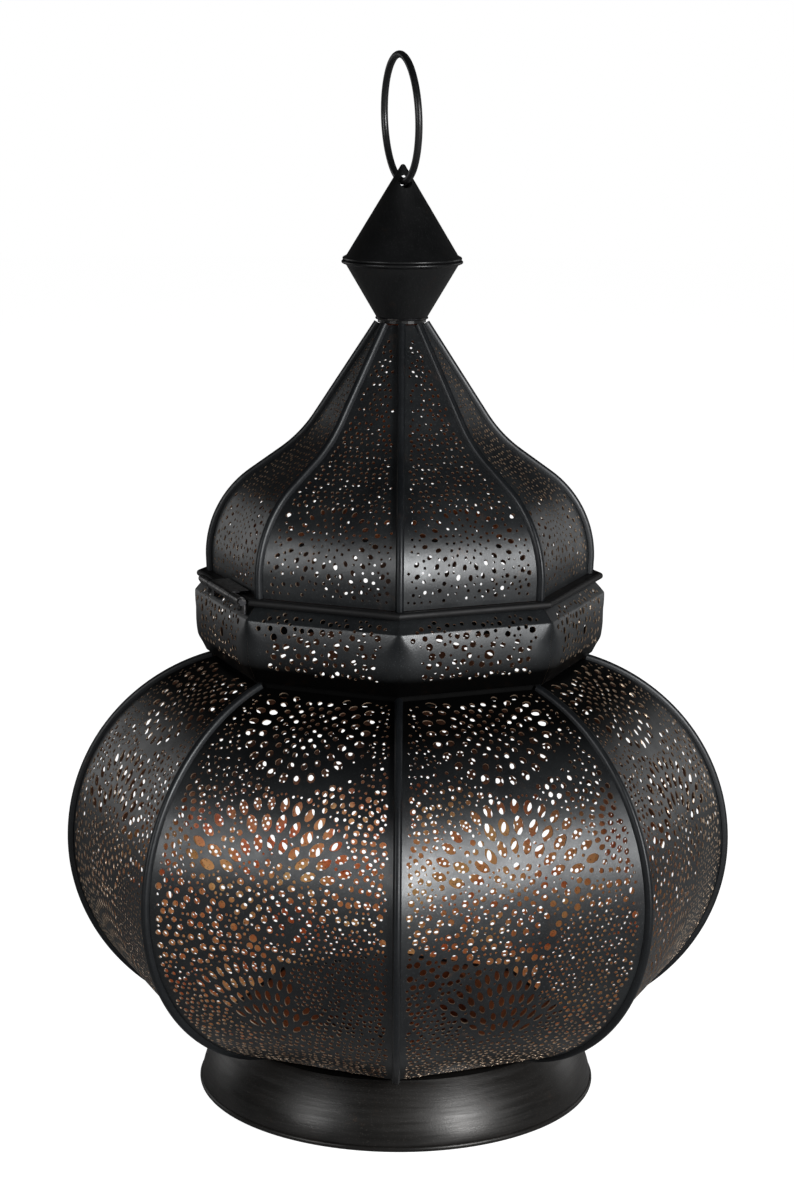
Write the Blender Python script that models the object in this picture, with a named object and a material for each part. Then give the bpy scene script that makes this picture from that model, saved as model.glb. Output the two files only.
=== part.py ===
"""Moroccan metal lantern: an eight-sided pierced body on a round foot, with a hinged onion dome.

Metres, +Z up. The origin is the centre of the foot's underside, and the front is -Y, where one of
the eight seams of the body faces. Headings are angles about Z from the front towards +X.
"""

import math

import bmesh
import bpy
from mathutils import Matrix, Vector

# ---------------------------------------------------------------- driving dimensions
SIDES = 8
HALF_TURN = math.pi / SIDES          # half the angle that one panel covers
MITRE = math.tan(HALF_TURN)          # half a panel's width over its distance from the axis
FLAT = math.cos(HALF_TURN)           # distance of a flat side over the distance of a corner

GAP = 0.0003                         # left between pieces that touch
SHEET = 0.0008                       # thickness of the pierced sheet
STRIP_HALF = 0.00115                 # half the width of a seam strip
STRIP_EDGE = 0.0008                  # height of a strip's edges above the sheet
STRIP_CREST = 0.0013                 # height of its middle above the sheet

# Corner radii and heights of the eight-sided shell, all in the plane of a seam.
BODY_WIDE_R = 0.0956
BODY_WIDE_Z = 0.0725
BODY_LOW_ARC = 0.0532                # radius of the lower curve
BODY_LOW_R = 0.050                   # where the body meets the foot
BODY_HIGH_ARC = 0.0578               # radius of the upper curve
BODY_TOP_Z = 0.1280
BODY_STEPS = 8                       # segments in each of the two curves

COLLAR_R = 0.0603
COLLAR_BULGE = 0.0003
COLLAR_FOOT_Z = 0.1297
COLLAR_LOW_Z = 0.1345
COLLAR_HIGH_Z = 0.1475
COLLAR_TOP_Z = 0.1514
COLLAR_MOUTH_R = 0.0555
COLLAR_SOLE_R = 0.0525

RIM_R = 0.0585
RIM_HOLE_R = 0.0524
RIM_Z = 0.1517
RIM_THICK = 0.0011

DOME_FOOT_Z = 0.1531
DOME_R = 0.0544
DOME_WALL_Z = 0.158                  # top of the upright part of the dome's wall
DOME_ARC = 0.0292                    # radius of the bulge
DOME_TURN = math.radians(54.5)       # how far the bulge turns
DOME_SLOPE = 0.0106                  # straight stretch after it
DOME_NECK_ARC = 0.0383                # radius of the hollow curve
DOME_NECK_TURN = math.radians(33)    # slope from the vertical at the top
DOME_TOP_R = 0.0066

# Round pieces.
FOOT_R = 0.0584
FOOT_TOP_R = 0.0500
FOOT_H = 0.0180
FOOT_LIP_R = 0.0535                  # inner edge of the flat resting lip
FOOT_FLANGE_R = 0.0450               # inner edge of the flange under the floor
FOOT_WALL = 0.0012
PLATE_R = 0.0496
PLATE_Z = 0.0183
PLATE_THICK = 0.0012
NECK_R = 0.0534
NECK_HOLE_R = 0.0490
NECK_Z = 0.1284
CUP_R = 0.0215
CUP_H = 0.0090
CUP_WALL = 0.0008
CAP_R = 0.0068
CAP_THICK = 0.0008

# Finial and ring.
FINIAL_Z = 0.2260
FINIAL_NECK_R = 0.0070
FINIAL_R = 0.0162
FINIAL_LIP_R = 0.0171
FINIAL_MID_Z = 0.2422
FINIAL_TIP_Z = 0.2690
FINIAL_WALL = 0.0012
RING_HOLE_Z = 0.2641
RING_HOLE_R = 0.0018
RING_WIRE = 0.00105
RING_R = 0.01735                     # centre of the wire
RING_HEADING = math.radians(16)      # the ring's plane, turned from the front
RING_LEAN = math.radians(2)          # it stands slightly off upright

# Lid hinge, on the side that faces left and a little forward.
HINGE_HEADING = math.radians(-67.5)
HINGE_OUT = 0.0556                   # distance of the pin from the lantern's axis
HINGE_Z = 0.1527
HINGE_SHIFT = 0.005                  # of the hinge's middle towards the front
PIN_R = 0.0005
PIN_HALF = 0.0170
PIN_HEAD_R = 0.0010
PIN_HEAD = 0.0008
CURL_R = 0.00125                     # outside of the rolled knuckles
CURL_WALL = 0.0004
LID_LEAF_HALF = 0.0090
KNUCKLE_FROM = 0.0094
KNUCKLE_TO = 0.0164
KNUCKLE_FOOT_Z = 0.1490
LEAF_FROM = 0.0506                   # where the lid's leaf starts, beside the dome's wall
RIVET_R = 0.0009
RIVET_HEIGHT = 0.0005
STRAP_RIVET_Z = 0.1502
CATCH_RIVET_Z = 0.1555

# Latch, opposite the hinge.
LATCH_HEADING = math.radians(112.5)
LATCH_Z = 0.1410
LATCH_REST = math.radians(75)        # the hook is swung aside
HOOK_FROM = 0.05615                  # nearest and furthest of the hook's faces
HOOK_TO = 0.05675
HOOK_EYE_R = 0.0022
HOOK_BORE_R = 0.00105
HOOK_ARM_HALF = 0.0010
HOOK_ARM_ANGLE = math.radians(14)    # the arm stands beside the catch
HOOK_IN_R = 0.0130
HOOK_OUT_R = 0.0142
HOOK_TIP_ANGLE = math.radians(-8)
STUD_R = 0.0007
STUD_HEAD_R = 0.0015
STUD_FROM = 0.0561
STUD_HEAD = 0.05705
STUD_TO = 0.0577
CATCH_TO = 0.0574
CATCH_HALF = 0.0015
CATCH_Z = 0.15315
CATCH_WALL = 0.00045
CATCH_TOP_Z = 0.1570

BLACK = (0.020, 0.021, 0.023)
BARE = (0.045, 0.046, 0.048)
COPPER = (0.45, 0.16, 0.06)


# ---------------------------------------------------------------- outlines, as (radius, height)
def arc(centre, radius, start, end, steps):
    """Points on a circle from one angle to the other."""
    points = []
    for i in range(steps + 1):
        angle = start + (end - start) * i / steps
        points.append((centre[0] + radius * math.cos(angle), centre[1] + radius * math.sin(angle)))
    return points


def body_outline():
    """Corner radius against height: two arcs that meet at the widest place."""
    low_centre = (BODY_WIDE_R - BODY_LOW_ARC, BODY_WIDE_Z)
    high_centre = (BODY_WIDE_R - BODY_HIGH_ARC, BODY_WIDE_Z)
    low_angle = -math.acos((BODY_LOW_R - low_centre[0]) / BODY_LOW_ARC)
    high_angle = math.asin((BODY_TOP_Z - BODY_WIDE_Z) / BODY_HIGH_ARC)
    low = arc(low_centre, BODY_LOW_ARC, low_angle, 0.0, BODY_STEPS)
    return low + arc(high_centre, BODY_HIGH_ARC, 0.0, high_angle, BODY_STEPS)[1:]


def collar_outline():
    """A sole that lies on the neck, a bevel, a slightly bowed band, and a bevel up to the mouth."""
    band = []
    for i in range(5):
        share = i / 4
        bulge = COLLAR_BULGE * (1.0 - (2.0 * share - 1.0) ** 2)
        band.append((COLLAR_R - COLLAR_BULGE + bulge,
                     COLLAR_LOW_Z + (COLLAR_HIGH_Z - COLLAR_LOW_Z) * share))
    sole = [(COLLAR_SOLE_R, COLLAR_FOOT_Z), (COLLAR_MOUTH_R + 0.0003, COLLAR_FOOT_Z + 0.0001)]
    return sole + band + [(COLLAR_MOUTH_R, COLLAR_TOP_Z)]


def dome_outline():
    """An upright wall, a bulge, a straight slope, a hollow curve, and a straight run to the top."""
    bulge = arc((DOME_R - DOME_ARC, DOME_WALL_Z), DOME_ARC, 0.0, DOME_TURN, 6)
    end = bulge[-1]
    slope_end = (end[0] - DOME_SLOPE * math.sin(DOME_TURN), end[1] + DOME_SLOPE * math.cos(DOME_TURN))
    centre = (slope_end[0] + DOME_NECK_ARC * math.cos(DOME_TURN),
              slope_end[1] + DOME_NECK_ARC * math.sin(DOME_TURN))
    hollow = arc(centre, DOME_NECK_ARC, math.pi + DOME_TURN, math.pi + DOME_NECK_TURN, 4)
    last = hollow[-1]
    top_z = last[1] + (last[0] - DOME_TOP_R) / math.tan(DOME_NECK_TURN)
    return [(DOME_R - 0.0002, DOME_FOOT_Z)] + bulge + hollow + [(DOME_TOP_R, top_z)]


def to_flats(outline):
    """Turn corner radii into the distances of the flat sides."""
    return [(radius * FLAT, height) for radius, height in outline]


def shifted(outline, distance):
    """The outline moved outward along its normals, mitred at each bend."""
    normals = []
    for (r0, z0), (r1, z1) in zip(outline, outline[1:]):
        length = math.hypot(r1 - r0, z1 - z0)
        normals.append(((z1 - z0) / length, (r0 - r1) / length))
    result = []
    for i, (radius, height) in enumerate(outline):
        before = normals[max(i - 1, 0)]
        after = normals[min(i, len(normals) - 1)]
        mean = (before[0] + after[0], before[1] + after[1])
        scale = distance / (mean[0] * before[0] + mean[1] * before[1])
        result.append((radius + mean[0] * scale, height + mean[1] * scale))
    return result


# ---------------------------------------------------------------- making meshes
def outward(heading):
    """Unit vector away from the axis at a heading."""
    return Vector((math.sin(heading), -math.cos(heading), 0.0))


def along(heading):
    """Unit vector along a flat side, towards growing headings."""
    return Vector((math.cos(heading), math.sin(heading), 0.0))


def place(heading, out, side, height):
    """A point given by its distance from the axis, its place along the side, and its height."""
    return outward(heading) * out + along(heading) * side + Vector((0.0, 0.0, height))


def finish(name, material, bm, origin=(0.0, 0.0, 0.0), round_piece=False):
    """Close the bmesh into an object whose origin lies at the given point."""
    bmesh.ops.recalc_face_normals(bm, faces=bm.faces[:])
    bmesh.ops.translate(bm, verts=bm.verts[:], vec=-Vector(origin))
    mesh = bpy.data.meshes.new(name)
    bm.to_mesh(mesh)
    bm.free()
    if round_piece:
        mesh.shade_smooth()
        mesh.set_sharp_from_angle(angle=math.radians(35))
    mesh.materials.append(material)
    obj = bpy.data.objects.new(name, mesh)
    obj.location = origin
    bpy.context.scene.collection.objects.link(obj)
    return obj


def loft(name, material, sections, smooth=True):
    """A closed body through equal rings of points, capped at both ends."""
    bm = bmesh.new()
    rings = [[bm.verts.new(point) for point in section] for section in sections]
    count = len(rings[0])
    for low, high in zip(rings, rings[1:]):
        for i in range(count):
            j = (i + 1) % count
            bm.faces.new((low[i], low[j], high[j], high[i]))
    bm.faces.new(rings[0])
    bm.faces.new(rings[-1])
    return finish(name, material, bm, round_piece=smooth)


def turned(name, material, outline, steps, axis=None, origin=(0.0, 0.0, 0.0), smooth=True, phase=0.0):
    """A closed outline of (radius, distance along the axis), turned about the axis."""
    axis = axis or Vector((0.0, 0.0, 1.0))
    turn = Vector((0.0, 0.0, 1.0)).rotation_difference(axis).to_matrix()
    bm = bmesh.new()
    columns = []
    for radius, distance in outline:
        if radius == 0.0:
            columns.append([bm.verts.new(Vector(origin) + turn @ Vector((0.0, 0.0, distance)))])
            continue
        ring = []
        for i in range(steps):
            angle = phase + 2.0 * math.pi * i / steps
            local = Vector((radius * math.sin(angle), -radius * math.cos(angle), distance))
            ring.append(bm.verts.new(Vector(origin) + turn @ local))
        columns.append(ring)
    for here, there in zip(columns, columns[1:] + columns[:1]):
        if len(here) == 1 and len(there) == 1:
            continue
        for i in range(steps):
            j = (i + 1) % steps
            if len(here) == 1:
                bm.faces.new((here[0], there[i], there[j]))
            elif len(there) == 1:
                bm.faces.new((here[i], there[0], here[j]))
            else:
                bm.faces.new((here[i], there[i], there[j], here[j]))
    return finish(name, material, bm, origin=origin, round_piece=smooth)


def pressed(name, material, points, reach, origin=(0.0, 0.0, 0.0)):
    """A flat outline of world points, carried along the reach vector."""
    bm = bmesh.new()
    near = [bm.verts.new(point) for point in points]
    far = [bm.verts.new(point + reach) for point in points]
    count = len(points)
    for i in range(count):
        j = (i + 1) % count
        bm.faces.new((near[i], near[j], far[j], far[i]))
    bm.faces.new(near)
    bm.faces.new(far)
    return finish(name, material, bm, origin=origin, round_piece=True)


def bored(obj, point, direction, radius, length):
    """Cut a round hole through the object."""
    bm = bmesh.new()
    bmesh.ops.create_cone(bm, cap_ends=True, segments=24, radius1=radius, radius2=radius, depth=length)
    turn = Vector((0.0, 0.0, 1.0)).rotation_difference(direction).to_matrix().to_4x4()
    bmesh.ops.transform(bm, matrix=Matrix.Translation(point) @ turn, verts=bm.verts[:])
    mesh = bpy.data.meshes.new(obj.name + "_drill")
    bm.to_mesh(mesh)
    bm.free()
    drill = bpy.data.objects.new(mesh.name, mesh)
    bpy.context.scene.collection.objects.link(drill)
    drill.hide_render = True
    drill.display_type = "WIRE"
    cut = obj.modifiers.new("bore", "BOOLEAN")
    cut.operation = "DIFFERENCE"
    cut.solver = "EXACT"
    cut.object = drill


def coat(name, colour, roughness, metallic):
    """A plain finish for one sub-part."""
    material = bpy.data.materials.new(name)
    material.use_nodes = True
    shader = material.node_tree.nodes["Principled BSDF"]
    shader.inputs["Base Color"].default_value = (*colour, 1.0)
    shader.inputs["Roughness"].default_value = roughness
    shader.inputs["Metallic"].default_value = metallic
    return material


# ---------------------------------------------------------------- the eight-sided shell
def sheet_panel(name, material, flats, heading):
    """One sheet of the shell, cut along the seam planes and a little short of them."""
    inner = shifted(flats, -SHEET)
    edge = 0.5 * GAP / FLAT
    sections = []
    for (out_r, out_z), (in_r, in_z) in zip(flats, inner):
        out_half = out_r * MITRE - edge
        in_half = in_r * MITRE - edge
        sections.append([place(heading, out_r, -out_half, out_z), place(heading, out_r, out_half, out_z),
                         place(heading, in_r, in_half, in_z), place(heading, in_r, -in_half, in_z)])
    return loft(name, material, sections)


def seam_strip(name, material, flats, heading):
    """The raised strip over the seam at this heading, folded to lie on both sheets."""
    base = shifted(flats, GAP)
    edge = shifted(flats, STRIP_EDGE)
    crest = shifted(flats, STRIP_CREST)
    sections = []
    for (base_r, base_z), (edge_r, edge_z), (crest_r, crest_z) in zip(base, edge, crest):
        base_half = base_r * MITRE
        edge_half = edge_r * MITRE
        right = heading + HALF_TURN
        left = heading - HALF_TURN
        sections.append([place(right, crest_r, -crest_r * MITRE, crest_z),
                         place(right, edge_r, STRIP_HALF - edge_half, edge_z),
                         place(right, base_r, STRIP_HALF - base_half, base_z),
                         place(right, base_r, -base_half, base_z),
                         place(left, base_r, base_half - STRIP_HALF, base_z),
                         place(left, edge_r, edge_half - STRIP_HALF, edge_z)])
    return loft(name, material, sections)


def make_shell():
    """The body's, collar's and dome's panels, and the strips on the body's and dome's seams."""
    sheet = coat("pierced_sheet", BLACK, 0.42, 0.6)
    strip = coat("seam_strip", BLACK, 0.38, 0.6)
    body = to_flats(body_outline())
    collar = to_flats(collar_outline())
    dome = to_flats(dome_outline())
    for i in range(SIDES):
        seam = 2.0 * HALF_TURN * i
        side = seam + HALF_TURN
        number = str(i + 1)
        sheet_panel("body_panel_" + number, sheet, body, side)
        sheet_panel("collar_panel_" + number, sheet, collar, side)
        sheet_panel("dome_panel_" + number, sheet, dome, side)
        seam_strip("body_rib_" + number, strip, body, seam)
        seam_strip("dome_rib_" + number, strip, dome, seam)


def eight_sided_ring(name, material, corner_r, hole_r, low, thick):
    """A flat ring with eight straight sides."""
    high = low + thick
    outline = [(hole_r, low), (corner_r, low), (corner_r, high), (hole_r, high)]
    turned(name, material, outline, SIDES, smooth=False)


def make_rings():
    """The flat pieces at the neck and under the dome."""
    black = coat("flat_rings", BLACK, 0.40, 0.6)
    eight_sided_ring("neck_ring", black, NECK_R, NECK_HOLE_R, NECK_Z, SHEET)
    eight_sided_ring("lid_rim", black, RIM_R, RIM_HOLE_R, RIM_Z, RIM_THICK)


# ---------------------------------------------------------------- foot, floor and candle cup
def make_foot():
    """The spun foot: a flat lip on the table, a drawn-in wall, and a flange under the floor."""
    black = coat("foot_coat", BLACK, 0.33, 0.5)
    wall = []
    for i in range(7):
        share = i / 6
        start, pull, end = (FOOT_R, 0.0012), (FOOT_R - 0.0016, 0.0095), (FOOT_TOP_R, FOOT_H)
        wall.append(tuple(start[k] * (1 - share) ** 2 + 2 * pull[k] * share * (1 - share)
                          + end[k] * share ** 2 for k in range(2)))
    inner = [(radius - FOOT_WALL, height) for radius, height in reversed(wall[1:-1])]
    flange = [(FOOT_FLANGE_R, FOOT_H), (FOOT_FLANGE_R, FOOT_H - FOOT_WALL),
              (FOOT_TOP_R - FOOT_WALL, FOOT_H - FOOT_WALL)]
    lip = [(FOOT_R - FOOT_WALL, FOOT_WALL), (FOOT_LIP_R, FOOT_WALL), (FOOT_LIP_R, 0.0)]
    toe = [(FOOT_R - 0.0006, 0.0), (FOOT_R - 0.0001, 0.0004)]
    turned("foot_ring", black, lip + toe + wall + flange + inner, 48)


def make_floor():
    """The floor of the body, and the cup that a tealight stands in."""
    copper = coat("copper_inside", COPPER, 0.40, 0.8)
    floor = [(0.0, PLATE_Z), (PLATE_R, PLATE_Z), (PLATE_R, PLATE_Z + PLATE_THICK),
             (0.0, PLATE_Z + PLATE_THICK)]
    turned("base_plate", copper, floor, SIDES, smooth=False)
    low = PLATE_Z + PLATE_THICK + GAP
    cup = [(0.0, low), (CUP_R - 0.0006, low), (CUP_R, low + 0.0006), (CUP_R, low + CUP_H),
           (CUP_R - CUP_WALL, low + CUP_H), (CUP_R - CUP_WALL, low + CUP_WALL), (0.0, low + CUP_WALL)]
    turned("tealight_cup", copper, cup, 32)


# ---------------------------------------------------------------- finial and hanging ring
def make_finial():
    """Two cones with their rims folded together, on a cap that closes the dome."""
    black = coat("finial_coat", BLACK, 0.36, 0.6)
    cap_z = FINIAL_Z - GAP - CAP_THICK
    cap = [(0.0, cap_z), (CAP_R, cap_z), (CAP_R, cap_z + CAP_THICK), (0.0, cap_z + CAP_THICK)]
    turned("dome_cap", black, cap, 24)
    mid = FINIAL_MID_Z
    lower = [(FINIAL_NECK_R, FINIAL_Z), (FINIAL_R, mid - 0.0010), (FINIAL_LIP_R, mid - 0.0007),
             (FINIAL_LIP_R, mid), (FINIAL_R - 2 * FINIAL_WALL, mid),
             (FINIAL_NECK_R - FINIAL_WALL, FINIAL_Z)]
    turned("finial_lower_cone", black, lower, 40)
    low = mid + GAP
    upper = [(0.0, FINIAL_TIP_Z), (FINIAL_R, low + 0.0010), (FINIAL_LIP_R - 0.0002, low + 0.0006),
             (FINIAL_LIP_R - 0.0002, low), (FINIAL_R - 2 * FINIAL_WALL, low),
             (0.0, FINIAL_TIP_Z - 2.6 * FINIAL_WALL)]
    cone = turned("finial_upper_cone", black, upper, 40)
    bored(cone, Vector((0.0, 0.0, RING_HOLE_Z)), outward(RING_HEADING), RING_HOLE_R, 0.02)


def make_ring():
    """The wire ring, which turns about the line of the hole that it passes through."""
    wire = coat("ring_wire", BLACK, 0.34, 0.7)
    pivot = Vector((0.0, 0.0, RING_HOLE_Z))
    forward = outward(RING_HEADING)
    up = Matrix.Rotation(RING_LEAN, 3, forward) @ Vector((0.0, 0.0, 1.0))
    centre = pivot + up * RING_R
    side = forward.cross(up)
    bm = bmesh.new()
    turns, sides = 48, 10
    rings = []
    for i in range(turns):
        angle = 2.0 * math.pi * i / turns
        spoke = forward * math.sin(angle) - up * math.cos(angle)
        ring = []
        for k in range(sides):
            around = 2.0 * math.pi * k / sides
            ring.append(bm.verts.new(centre + spoke * (RING_R + RING_WIRE * math.cos(around))
                                     + side * RING_WIRE * math.sin(around)))
        rings.append(ring)
    for i in range(turns):
        here, there = rings[i], rings[(i + 1) % turns]
        for k in range(sides):
            m = (k + 1) % sides
            bm.faces.new((here[k], here[m], there[m], there[k]))
    finish("hanging_ring", wire, bm, origin=pivot, round_piece=True)


# ---------------------------------------------------------------- hinge
def rivet(name, material, heading, out, side, height):
    """A round rivet head that faces away from the lantern's axis."""
    dome = [(0.0, 0.0), (RIVET_R, 0.0), (0.8 * RIVET_R, 0.6 * RIVET_HEIGHT),
            (0.4 * RIVET_R, 0.95 * RIVET_HEIGHT), (0.0, RIVET_HEIGHT)]
    turned(name, material, dome, 12, axis=outward(heading), origin=place(heading, out, side, height))


def curl(start, end):
    """The rolled end of a strip round the pin: its outside and then its inside, back to the start."""
    centre = (HINGE_OUT, HINGE_Z)
    outer = arc(centre, CURL_R, start, end, 12)
    return outer + arc(centre, CURL_R - CURL_WALL, end, start, 12)


def make_hinge():
    """Two knuckles on the collar, one leaf on the lid, and the pin through all three."""
    steel = coat("hinge_steel", BARE, 0.35, 0.8)
    axis = along(HINGE_HEADING)
    pivot = place(HINGE_HEADING, HINGE_OUT, HINGE_SHIFT, HINGE_Z)
    near = HINGE_OUT - CURL_R
    upright = [(near + CURL_WALL, KNUCKLE_FOOT_Z), (near, KNUCKLE_FOOT_Z)]
    knuckle = upright + curl(math.pi, math.radians(-110))
    flat = [(LEAF_FROM, HINGE_Z + CURL_R - CURL_WALL), (LEAF_FROM, HINGE_Z + CURL_R)]
    leaf = flat + curl(math.radians(90), math.radians(-160))

    def strip(name, outline, start, end):
        points = [place(HINGE_HEADING, out, HINGE_SHIFT + start, height) for out, height in outline]
        pressed(name, steel, points, axis * (end - start), origin=pivot)

    strip("hinge_knuckle_front", knuckle, KNUCKLE_FROM, KNUCKLE_TO)
    strip("hinge_knuckle_back", knuckle, -KNUCKLE_TO, -KNUCKLE_FROM)
    strip("hinge_leaf_lid", leaf, -LID_LEAF_HALF, LID_LEAF_HALF)
    middle = 0.5 * (KNUCKLE_FROM + KNUCKLE_TO)
    face = near + CURL_WALL + GAP
    rivet("hinge_rivet_front", steel, HINGE_HEADING, face, HINGE_SHIFT + middle, STRAP_RIVET_Z)
    rivet("hinge_rivet_back", steel, HINGE_HEADING, face, HINGE_SHIFT - middle, STRAP_RIVET_Z)
    end = PIN_HALF + PIN_HEAD
    pin = [(0.0, -end), (PIN_HEAD_R, -end), (PIN_HEAD_R, -PIN_HALF), (PIN_R, -PIN_HALF),
           (PIN_R, PIN_HALF), (PIN_HEAD_R, PIN_HALF), (PIN_HEAD_R, end), (0.0, end)]
    turned("hinge_pin", steel, pin, 12, axis=axis, origin=pivot)


# ---------------------------------------------------------------- latch
def make_latch():
    """A hook on a stud of the collar, and the catch on the dome that it closes over."""
    steel = coat("latch_steel", BARE, 0.35, 0.8)
    axis = outward(LATCH_HEADING)
    pivot = place(LATCH_HEADING, HOOK_FROM, 0.0, LATCH_Z)

    def polar(radius, angle):
        """A point of the hook: its angle runs from the top towards the front of the lantern."""
        turned_angle = angle + LATCH_REST
        return place(LATCH_HEADING, HOOK_FROM, -radius * math.sin(turned_angle),
                     LATCH_Z + radius * math.cos(turned_angle))

    def sweep(radius, start, end, steps):
        return [polar(radius, start + (end - start) * i / steps) for i in range(steps + 1)]

    def spread(radius):
        return math.asin(HOOK_ARM_HALF / radius)

    eye = sweep(HOOK_EYE_R, HOOK_ARM_ANGLE + spread(HOOK_EYE_R),
                2.0 * math.pi + HOOK_ARM_ANGLE - spread(HOOK_EYE_R), 14)
    inside = sweep(HOOK_IN_R, HOOK_ARM_ANGLE - spread(HOOK_IN_R), HOOK_TIP_ANGLE, 4)
    outside = sweep(HOOK_OUT_R, HOOK_TIP_ANGLE, HOOK_ARM_ANGLE + spread(HOOK_OUT_R), 5)
    hook = pressed("latch_hook", steel, eye + inside + outside, axis * (HOOK_TO - HOOK_FROM),
                   origin=pivot)
    bored(hook, pivot, axis, HOOK_BORE_R, 0.004)

    stud = [(0.0, STUD_FROM), (STUD_R, STUD_FROM), (STUD_R, STUD_HEAD), (STUD_HEAD_R, STUD_HEAD),
            (STUD_HEAD_R, STUD_HEAD + 0.0003), (0.6 * STUD_HEAD_R, STUD_TO), (0.0, STUD_TO)]
    turned("latch_stud", steel, stud, 16, axis=axis, origin=Vector((0.0, 0.0, LATCH_Z)))

    wall = LEAF_FROM
    bracket = [(wall, CATCH_Z), (CATCH_TO, CATCH_Z), (CATCH_TO, CATCH_Z + CATCH_WALL),
               (wall + CATCH_WALL, CATCH_Z + CATCH_WALL), (wall + CATCH_WALL, CATCH_TOP_Z),
               (wall, CATCH_TOP_Z)]
    points = [place(LATCH_HEADING, out, -CATCH_HALF, height) for out, height in bracket]
    pressed("latch_catch", steel, points, along(LATCH_HEADING) * 2.0 * CATCH_HALF)
    rivet("catch_rivet", steel, LATCH_HEADING, wall + CATCH_WALL + GAP, 0.0, CATCH_RIVET_Z)


for old in list(bpy.data.objects):
    bpy.data.objects.remove(old, do_unlink=True)
make_shell()
make_rings()
make_foot()
make_floor()
make_finial()
make_ring()
make_hinge()
make_latch()
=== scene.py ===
import collections
import math
import random

import bpy
import numpy as np
from mathutils import Matrix, Vector
from mathutils.geometry import delaunay_2d_cdt


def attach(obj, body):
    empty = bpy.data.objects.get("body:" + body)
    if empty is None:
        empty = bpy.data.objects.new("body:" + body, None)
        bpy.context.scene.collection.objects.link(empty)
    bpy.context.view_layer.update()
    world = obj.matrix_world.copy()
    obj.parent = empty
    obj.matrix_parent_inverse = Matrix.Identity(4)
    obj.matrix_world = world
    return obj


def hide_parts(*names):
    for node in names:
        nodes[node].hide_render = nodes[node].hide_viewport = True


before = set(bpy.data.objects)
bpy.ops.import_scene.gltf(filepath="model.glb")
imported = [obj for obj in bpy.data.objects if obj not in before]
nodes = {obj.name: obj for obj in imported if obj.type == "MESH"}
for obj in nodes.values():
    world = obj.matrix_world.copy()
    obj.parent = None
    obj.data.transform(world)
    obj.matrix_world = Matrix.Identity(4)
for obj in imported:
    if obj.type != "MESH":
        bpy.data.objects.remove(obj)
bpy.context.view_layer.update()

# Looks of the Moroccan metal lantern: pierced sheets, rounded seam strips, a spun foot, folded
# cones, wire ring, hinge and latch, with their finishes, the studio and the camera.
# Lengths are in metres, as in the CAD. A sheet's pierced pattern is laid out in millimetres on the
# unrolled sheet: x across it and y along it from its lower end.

# ---------------------------------------------------------------- sizes shared with the CAD
SIDES = 8
HALF_TURN = math.pi / SIDES
MITRE = math.tan(HALF_TURN)
FLAT = math.cos(HALF_TURN)

BODY_WIDE_R = 0.0956
BODY_WIDE_Z = 0.0725
BODY_LOW_ARC = 0.0532
BODY_LOW_R = 0.050
BODY_HIGH_ARC = 0.0578
BODY_TOP_Z = 0.1280

COLLAR_R = 0.0603
COLLAR_FOOT_Z = 0.1297
COLLAR_LOW_Z = 0.1345
COLLAR_HIGH_Z = 0.1475
COLLAR_TOP_Z = 0.1514
COLLAR_MOUTH_R = 0.0555
COLLAR_SOLE_R = 0.0525

DOME_FOOT_Z = 0.1531
DOME_R = 0.0544
DOME_WALL_Z = 0.158
DOME_ARC = 0.0292
DOME_TURN = math.radians(54.5)
DOME_SLOPE = 0.0106
DOME_NECK_ARC = 0.0383
DOME_NECK_TURN = math.radians(33)
DOME_TOP_R = 0.0066

FOOT_R = 0.0584
FOOT_TOP_R = 0.0500
FOOT_H = 0.0180
FOOT_LIP_R = 0.0535
FOOT_FLANGE_R = 0.0450
FOOT_WALL = 0.0012

FINIAL_Z = 0.2260
FINIAL_NECK_R = 0.0070
FINIAL_R = 0.0162
FINIAL_LIP_R = 0.0171
FINIAL_MID_Z = 0.2422
FINIAL_TIP_Z = 0.2690
RING_HOLE_Z = 0.2641
RING_HOLE_R = 0.0018
RING_WIRE = 0.00105
RING_R = 0.01735
RING_HEADING = math.radians(16)
RING_LEAN = math.radians(2)

# ---------------------------------------------------------------- sizes of the visible pieces
MM = 0.001
SHEET = 0.0003                       # the real sheet is thinner than the CAD's
SEAM_GAP = 0.00002                   # between neighbouring sheets
STRIP_HALF = 0.00112
STRIP_CREST = 0.00136                # above the sheets' corner
STRIP_SINK = 0.00034                 # of the strip's edges below the corner
STRIP_BACK = 0.00012                 # of the strip's hollow side, above the corner
STRIP_STEPS = 10                     # across the rounded back

# The collar's corners are beaten round in the shape of a kite: (distance along the side, how far the
# round reaches from the corner).
COLLAR_KITE = ((0.0026, 0.0), (0.0070, 0.0046), (0.0165, 0.0056), (0.0226, 0.0))
KITE_DEPTH = 0.5 * MITRE             # of the round at the corner, as a share of its reach
COLLAR_BOW = 0.0012                  # of the middle of the band, outward
COLLAR_BENDS = (0.0, 0.0004, 0.0045, 0.030, 0.0012, 0.0)       # radii, from the sole to the mouth
COLLAR_SEAM_LINES = (0.0006, 0.0013, 0.0021, 0.0031, 0.0043, 0.0056)    # mesh lines by a corner

FOOT_ROLL_R = 0.00085
FOOT_STEPS = 144
CONE_WALL = 0.0007
CONE_STEPS = 96
CONE_LAP = 0.00022                   # of the rolled cone's outer edge over the inner one
LAP_FADE = 9.0                       # the lap fades out over one part in nine of the turn
HEM_R = 0.00045                      # of the cones' folded rims
HEM_GAP = 0.00006                    # between the two rims
BEAD_R = 0.00705
BEAD_THICK = 0.00042
DRILL_SIDES = 24
DRILL_LENGTH = 0.02
WIRE_SIDES = 18
RING_STEPS = 180
RING_JOINT = math.radians(168)       # where the wire's ends meet, near the top
SHARP_EDGE = math.radians(35)        # faces that meet at more than this are not smoothed
AXIS_R = 0.001                       # points nearer to the axis than this stay where they are

Hole = collections.namedtuple("Hole", "x y long short angle pointed")


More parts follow.
